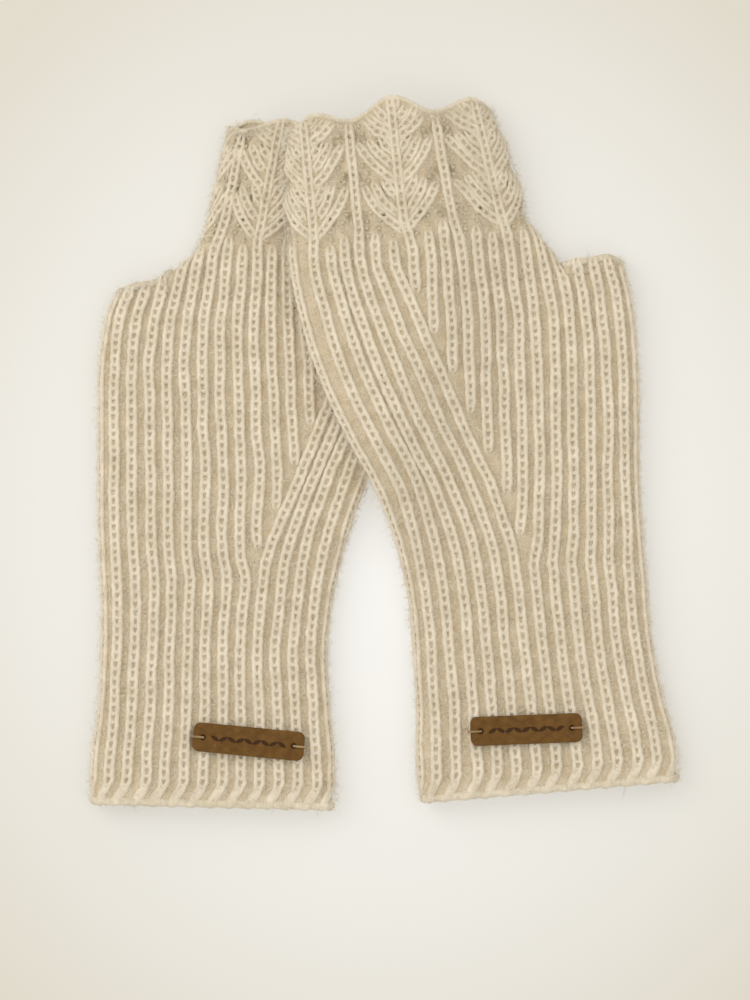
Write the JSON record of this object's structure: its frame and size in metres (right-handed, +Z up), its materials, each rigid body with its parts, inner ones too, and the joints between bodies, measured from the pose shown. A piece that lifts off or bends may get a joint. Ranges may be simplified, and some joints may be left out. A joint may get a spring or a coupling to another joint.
{
  "type": "pair of fingerless gloves",
  "caption": "Pair of ribbed knitted fingerless gloves with scalloped leaf-lace finger cuffs, open thumbs and leather wrist labels, laid flat with the right glove over the left.",
  "frame": {"origin": "middle of the pair's footprint, on the surface that it lies on", "axes": "+X to the right glove, +Y to the fingertips, +Z up from the surface"},
  "size_m": [0.17, 0.2042, 0.0205],
  "materials": {
    "rib_knit": "soft brushed one-and-one rib in ivory yarn",
    "lace_knit": "soft brushed rib and leaf lace in ivory yarn",
    "edge_knit": "bulky cast-on and bound-off edges in ivory yarn",
    "label_leather": "matt brown leather with burnished edges",
    "label_thread": "twisted beige thread"
  },
  "bodies": {
    "left_glove": {"left_hand": "rib_knit", "left_finger_cuff": "lace_knit", "left_thumb_edge": "edge_knit", "left_wrist_edge": "edge_knit", "left_label_outer_tie": "label_thread", "left_label_inner_tie": "label_thread"},
    "left_label": {"left_label": "label_leather"},
    "right_glove": {"right_hand": "rib_knit", "right_finger_cuff": "lace_knit", "right_thumb_edge": "edge_knit", "right_wrist_edge": "edge_knit", "right_label_outer_tie": "label_thread", "right_label_inner_tie": "label_thread"},
    "right_label": {"right_label": "label_leather"}
  },
  "joints": [
    {"name": "right_glove_lift", "type": "slide", "parent": "left_glove", "child": "right_glove", "axis": [0, 0, 1], "range_m": [0, 0.06]},
    {"name": "left_label_rock", "type": "hinge", "parent": "left_glove", "child": "left_label", "pos_m": [-0.03894, -0.08266, 0.01135], "axis": [0.9954, -0.0958, 0], "range_deg": [-4, 4]},
    {"name": "right_label_rock", "type": "hinge", "parent": "right_glove", "child": "right_label", "pos_m": [0.04059, -0.07919, 0.01135], "axis": [0.9993, 0.0384, 0], "range_deg": [-4, 4]}
  ]
}
